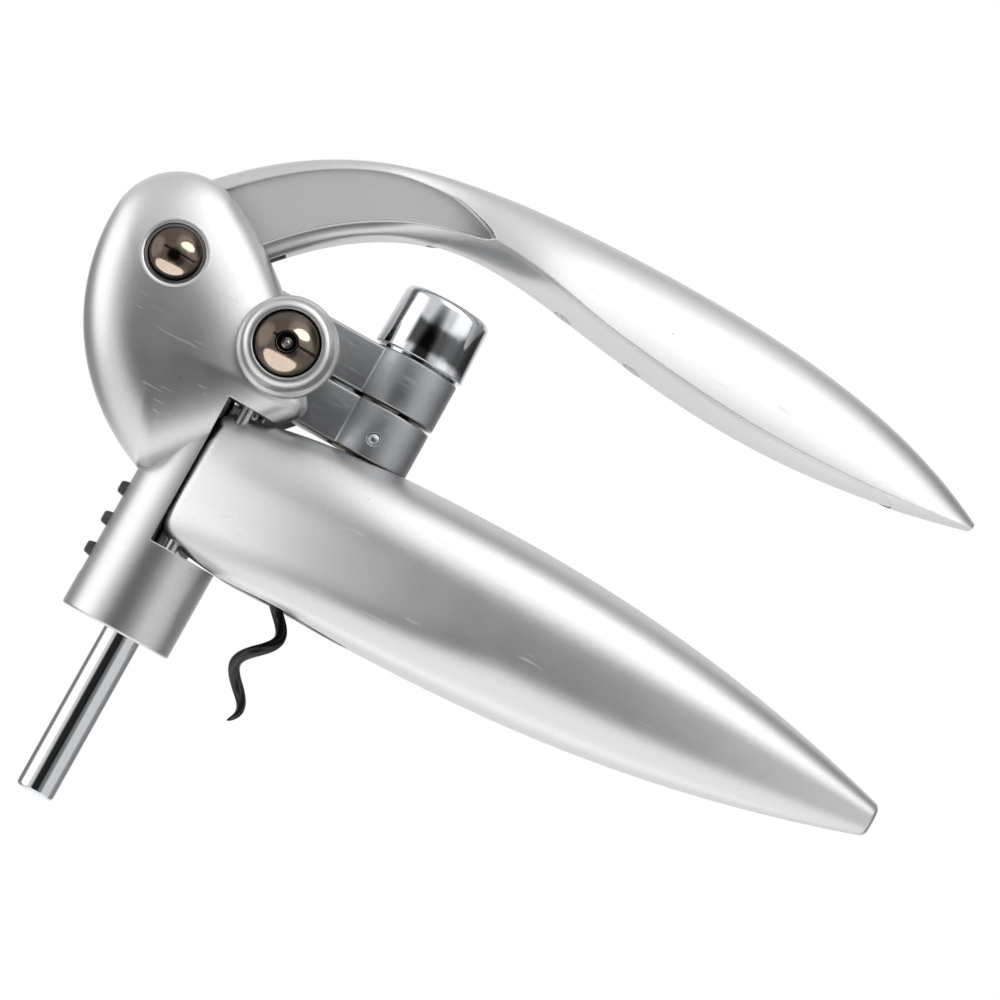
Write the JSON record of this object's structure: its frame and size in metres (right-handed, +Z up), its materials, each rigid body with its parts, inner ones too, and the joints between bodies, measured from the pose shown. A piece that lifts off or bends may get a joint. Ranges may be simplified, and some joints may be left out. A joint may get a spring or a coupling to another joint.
{
  "type": "lever corkscrew",
  "caption": "Rabbit-style lever corkscrew: geared lever drives a rack, guide rod and worm carriage, with two hinged handles that clamp the bottle neck.",
  "frame": {"origin": "on the worm's axis, in the plane where the bottle's mouth seats under the handles' ledge", "axes": "+X toward the tips of the handles and the lever, +Z up along the worm, so the bottle comes in from -Z, and -Y toward the side that the picture shows"},
  "size_m": [0.1765, 0.0454, 0.1404],
  "materials": {
    "silver_paint": "satin metallic",
    "bare_zinc": "satin",
    "chrome_plate": "mirror",
    "dark_nickel": "mirror",
    "steel": "ground",
    "rack_steel": "dark",
    "worm_coating": "slick black coating",
    "bronze": "turned",
    "black_rubber": "matt",
    "dark_plastic": "matt"
  },
  "bodies": {
    "housing": {"body_sleeve": "silver_paint", "front_cheek": "silver_paint", "rear_cheek": "silver_paint", "front_boss": "silver_paint", "rear_boss": "silver_paint", "boss_rivets": "dark_nickel", "rivet_pins": "steel", "lever_axle": "steel", "axle_caps": "dark_nickel", "hinge_pins": "steel", "rod_bush": "dark_plastic"},
    "lever": {"lever_arm": "silver_paint", "drive_gear": "rack_steel", "gear_dowels": "steel", "lever_bush": "bronze", "lever_grip": "silver_paint", "grip_strip": "silver_paint", "grip_screws": "steel"},
    "carriage": {"worm_carriage": "bare_zinc", "bearing_cap": "chrome_plate", "guide_rod": "chrome_plate", "rack": "rack_steel", "rack_pin": "steel", "rod_pin": "steel", "worm_bush": "bronze", "thrust_washer": "bronze"},
    "worm_spindle": {"worm": "worm_coating", "worm_head": "steel"},
    "nut": {"nut_carriage": "bare_zinc", "nut_bush": "bronze", "nut_peg": "steel", "nut_pin": "steel"},
    "front_clamp": {"front_handle": "silver_paint", "front_cover": "dark_plastic", "front_jaw_pad": "black_rubber", "front_cover_screws": "steel"},
    "rear_clamp": {"rear_handle": "silver_paint", "rear_cover": "dark_plastic", "rear_jaw_pad": "black_rubber", "rear_cover_screws": "steel"}
  },
  "joints": [
    {"name": "lever_swing", "type": "hinge", "parent": "housing", "child": "lever", "pos_m": [-0.0478, 0, 0.02], "axis": [0, -1, 0], "range_deg": [0, 220]},
    {"name": "carriage_slide", "type": "slide", "parent": "housing", "child": "carriage", "axis": [0, 0, 1], "range_m": [0, 0.0461]},
    {"name": "worm_spin", "type": "hinge", "parent": "carriage", "child": "worm_spindle", "pos_m": [0, 0, 0], "axis": [0, 0, 1], "range_deg": [0, 1092]},
    {"name": "nut_slide", "type": "slide", "parent": "carriage", "child": "nut", "axis": [0, 0, 1], "range_m": [-0.0461, 0]},
    {"name": "front_clamp_hinge", "type": "hinge", "parent": "housing", "child": "front_clamp", "pos_m": [-0.0226, -0.0084, 0], "axis": [0, 0, -1], "range_deg": [0, 25]},
    {"name": "rear_clamp_hinge", "type": "hinge", "parent": "housing", "child": "rear_clamp", "pos_m": [-0.0226, 0.0084, 0], "axis": [0, 0, 1], "range_deg": [0, 25]}
  ],
  "couplings": [
    {"joint": "carriage_slide", "follows": "lever_swing", "m_per_rad": 0.012},
    {"joint": "worm_spin", "follows": "lever_swing", "ratio": 4.9604},
    {"joint": "nut_slide", "follows": "lever_swing", "m_per_rad": -0.012}
  ]
}
